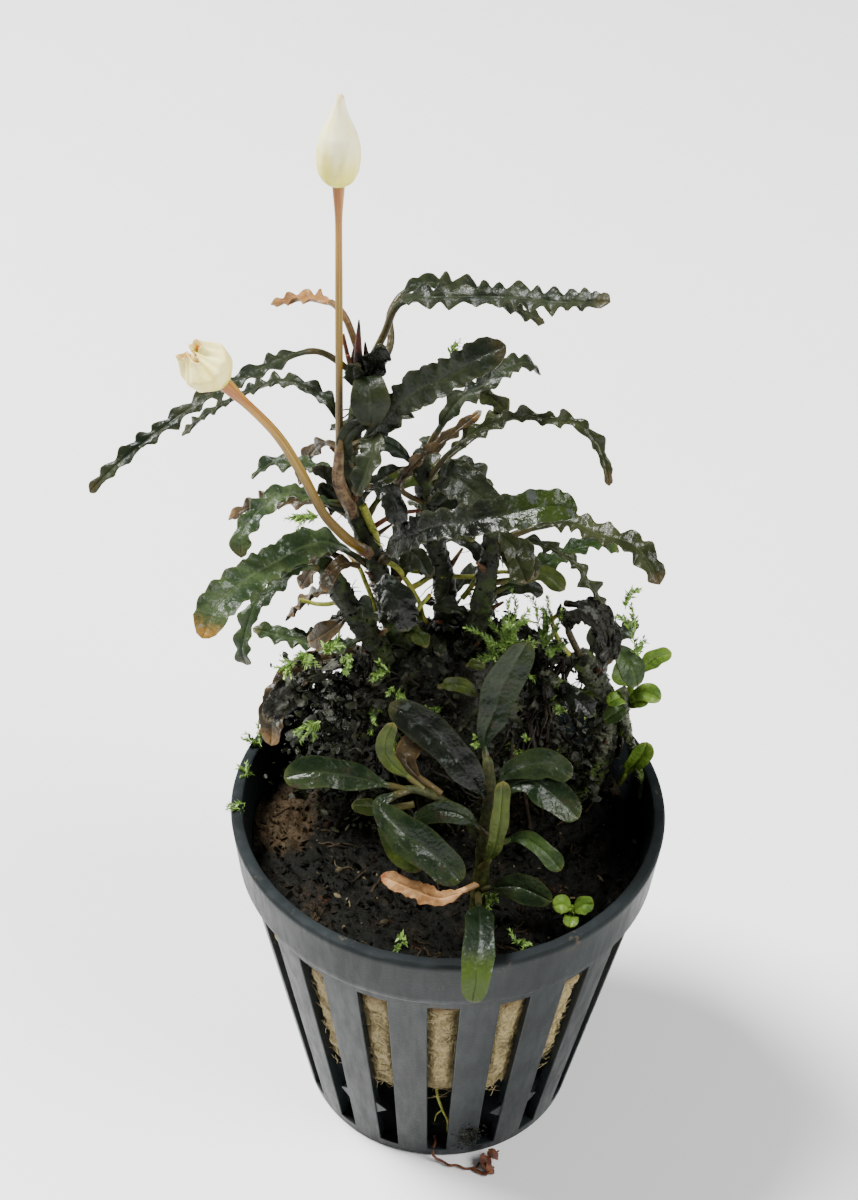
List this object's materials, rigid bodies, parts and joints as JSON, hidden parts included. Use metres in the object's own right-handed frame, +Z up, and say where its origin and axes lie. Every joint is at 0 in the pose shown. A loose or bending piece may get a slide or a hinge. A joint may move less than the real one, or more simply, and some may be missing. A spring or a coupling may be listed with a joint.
{
  "type": "potted aquarium plant, titan bucephalandra",
  "caption": "Emersed bucephalandra with wavy dark leaves and cream flowers, rooted in a slotted black net pot",
  "frame": {"origin": "centre of the pot's underside", "axes": "+Z up along the pot's axis, -Y towards the side with the shoot that hangs over the rim, +X to the right of that view"},
  "size_m": [0.0636, 0.0553, 0.1343],
  "materials": {
    "pot_plastic": "satin black moulded plastic",
    "rockwool": "tan fibrous mineral wool",
    "soil": "dark wet crust of algae and silt",
    "root_mass": "black tangle of roots, moss and dead leaf",
    "rhizome": "dark scarred stem",
    "shoot": "olive stem",
    "flower_stalk": "golden tan stalk",
    "leaf": "dark green satin leaf",
    "leaf_copper": "copper brown leaf",
    "leaf_brown": "brown dying leaf",
    "leaf_green": "bright green young leaf",
    "spathe": "cream white"
  },
  "bodies": {
    "root": {"pot": "pot_plastic", "rockwool": "rockwool", "soil_crust": "soil", "root_mass": "root_mass", "rhizome_left": "rhizome", "rhizome_crown": "rhizome", "rhizome_mid": "rhizome", "rhizome_right": "rhizome", "rhizome_far": "rhizome", "sprout_stem": "shoot", "sprout_side_stem": "shoot", "flower_stalk_upright": "flower_stalk", "flower_stalk_leaning": "flower_stalk", "leaf_left_long": "leaf", "leaf_left_second": "leaf", "leaf_copper": "leaf_copper", "leaf_top_right": "leaf", "leaf_top_right_back": "leaf", "leaf_top_tongue": "leaf", "leaf_right_broad": "leaf", "leaf_right_behind": "leaf", "leaf_pale_fold": "leaf", "leaf_right_arched": "leaf", "leaf_thin_folded": "leaf_brown", "leaf_right_front": "leaf", "leaf_right_grey": "leaf", "leaf_right_green": "leaf_green", "leaf_right_inner": "leaf", "leaf_mid_drop": "leaf", "leaf_left_broad": "leaf", "leaf_left_curl": "leaf", "leaf_left_dry_tip": "leaf_brown", "leaf_left_hanging": "leaf", "leaf_left_low": "leaf", "leaf_left_small": "leaf", "leaf_brown_clear": "leaf_brown", "leaf_left_mid_dark": "leaf", "leaf_dry_low_left": "leaf_brown", "leaf_crusted": "leaf_brown", "leaf_right_low": "leaf", "leaf_right_under": "leaf", "leaf_front_tongue": "leaf", "leaf_front_dark": "leaf", "leaf_front_narrow": "leaf", "leaf_front_round": "leaf_brown", "leaf_front_left": "leaf", "leaf_front_big": "leaf", "leaf_dead_orange": "leaf_copper", "leaf_front_low_right": "leaf", "leaf_front_green": "leaf_green", "leaf_front_right": "leaf", "leaf_over_rim": "leaf", "leaf_brown_edge": "leaf_brown", "leaf_back_left": "leaf", "leaf_back_middle": "leaf", "leaf_back_right": "leaf", "spathe_upright": "spathe", "spathe_leaning": "spathe", "right_sprout": "leaf_green", "seedling": "leaf_green"}
  },
  "joints": []
}
